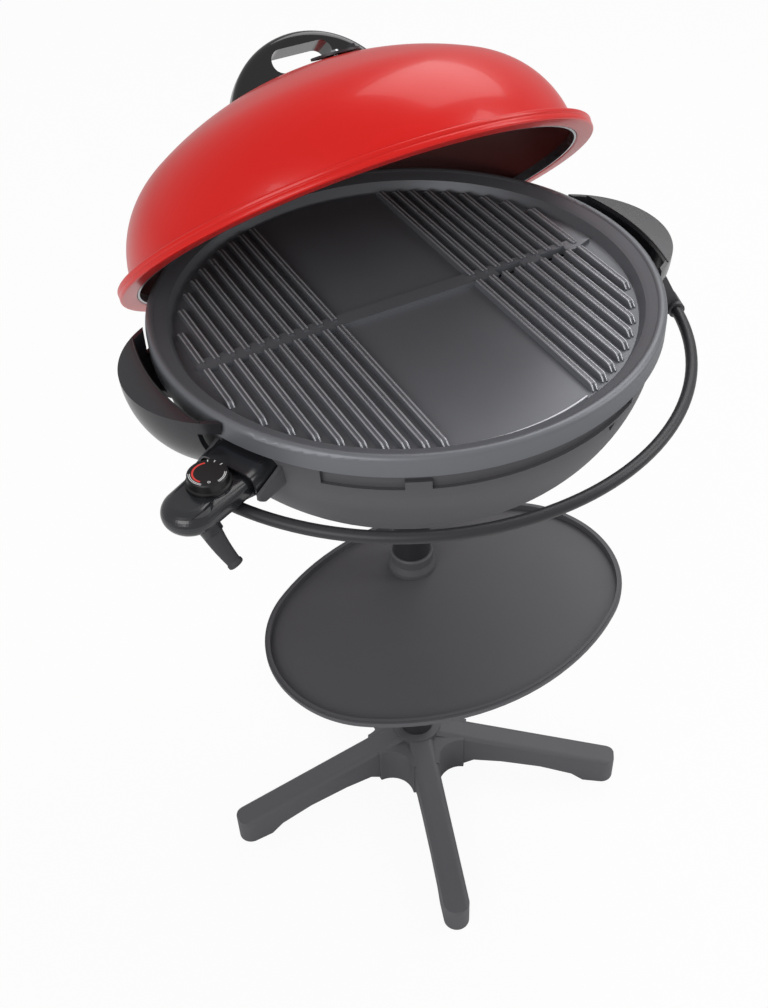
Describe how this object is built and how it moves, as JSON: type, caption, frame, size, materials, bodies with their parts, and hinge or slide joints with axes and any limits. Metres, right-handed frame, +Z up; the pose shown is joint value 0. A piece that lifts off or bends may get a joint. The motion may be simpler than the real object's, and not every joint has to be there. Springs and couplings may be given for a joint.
{
  "type": "electric pedestal grill",
  "caption": "Round electric grill on a pedestal with a tilting domed lid, ribbed removable plate, plug-in thermostat, side handles, front rail and oval shelf.",
  "frame": {"origin": "on the floor, on the axis of the column", "axes": "+Z up along the column, -Y towards the user, +X to the user's right, lid hinge at +Y"},
  "size_m": [0.5695, 0.5596, 0.9301],
  "materials": {
    "charcoal_moulding": "fine matt grain",
    "charcoal_tube": "satin powder coat",
    "non_stick": "grey non-stick coat",
    "red_enamel": "glossy red enamel",
    "black_gloss": "glossy black",
    "bright_steel": "bright zinc",
    "black_rubber": "matt",
    "element_sheath": "heat darkened",
    "ceramic": "off-white ceramic",
    "contact_brass": "bright",
    "vent_grey": "satin",
    "switch_body": "phenolic brown"
  },
  "bodies": {
    "stand": {"star_foot": "charcoal_moulding", "foot_pads": "black_rubber", "foot_bolt": "bright_steel", "column_plug": "bright_steel", "lower_column": "charcoal_tube", "collar_lower": "charcoal_moulding", "shelf": "charcoal_moulding", "collar_upper": "charcoal_moulding", "upper_column": "charcoal_tube"},
    "grill_base": {"bowl_mount": "charcoal_moulding", "mount_screws": "bright_steel", "bowl": "charcoal_moulding", "drip_tray": "bright_steel", "heat_reflector": "bright_steel", "element_posts": "bright_steel", "heating_element": "element_sheath", "terminal_block": "ceramic", "socket_shroud": "black_gloss", "socket_guard": "charcoal_moulding", "left_handle": "charcoal_moulding", "right_handle": "charcoal_moulding", "front_rail": "charcoal_tube", "rail_bracket_left": "charcoal_moulding", "rail_bracket_right": "charcoal_moulding", "hinge_bracket": "charcoal_tube", "bracket_screws": "bright_steel", "lower_hinge_pin": "bright_steel"},
    "plate": {"grill_plate": "non_stick"},
    "lid_arms": {"hinge_arms": "charcoal_tube", "upper_hinge_pin": "bright_steel"},
    "lid": {"lid_strap": "charcoal_tube", "strap_rivets": "bright_steel", "lid_dome": "red_enamel", "lid_trim_ring": "bright_steel", "lid_handle": "black_gloss", "handle_screws": "bright_steel", "vent_rivet": "bright_steel"},
    "vent": {"vent_cover": "vent_grey"},
    "thermostat": {"control_base": "black_gloss", "control_cover": "black_gloss", "probe_rod": "bright_steel", "contact_sleeves": "contact_brass", "cord_boot": "black_rubber", "thermostat_switch": "switch_body"},
    "knob": {"knob_shaft": "bright_steel", "control_knob": "black_gloss"}
  },
  "joints": [
    {"name": "base_lift", "type": "slide", "parent": "stand", "child": "grill_base", "axis": [0, 0, 1], "range_m": [0, 0.07]},
    {"name": "plate_lift", "type": "slide", "parent": "grill_base", "child": "plate", "axis": [0, 0, 1], "range_m": [0, 0.02]},
    {"name": "lid_arm_swing", "type": "hinge", "parent": "grill_base", "child": "lid_arms", "pos_m": [0, 0.24423, 0.60747], "axis": [-1, 0, 0], "range_deg": [-173.23, 0]},
    {"name": "lid_tilt", "type": "hinge", "parent": "lid_arms", "child": "lid", "pos_m": [0, 0.24645, 0.53972], "axis": [1, 0, 0], "range_deg": [-130.93, 0]},
    {"name": "vent_turn", "type": "hinge", "parent": "lid", "child": "vent", "pos_m": [0, 0.11751, 0.89727], "axis": [0, 0.4587, 0.8886], "range_deg": [0, 60]},
    {"name": "thermostat_pull", "type": "slide", "parent": "grill_base", "child": "thermostat", "axis": [-0.891, -0.454, 0], "range_m": [0, 0.1]},
    {"name": "knob_turn", "type": "hinge", "parent": "thermostat", "child": "knob", "pos_m": [-0.24859, -0.12666, 0.69], "axis": [0, 0, 1], "range_deg": [-270, 0]}
  ],
  "couplings": [
    {"joint": "lid_tilt", "follows": "lid_arm_swing", "ratio": 0.75582}
  ]
}
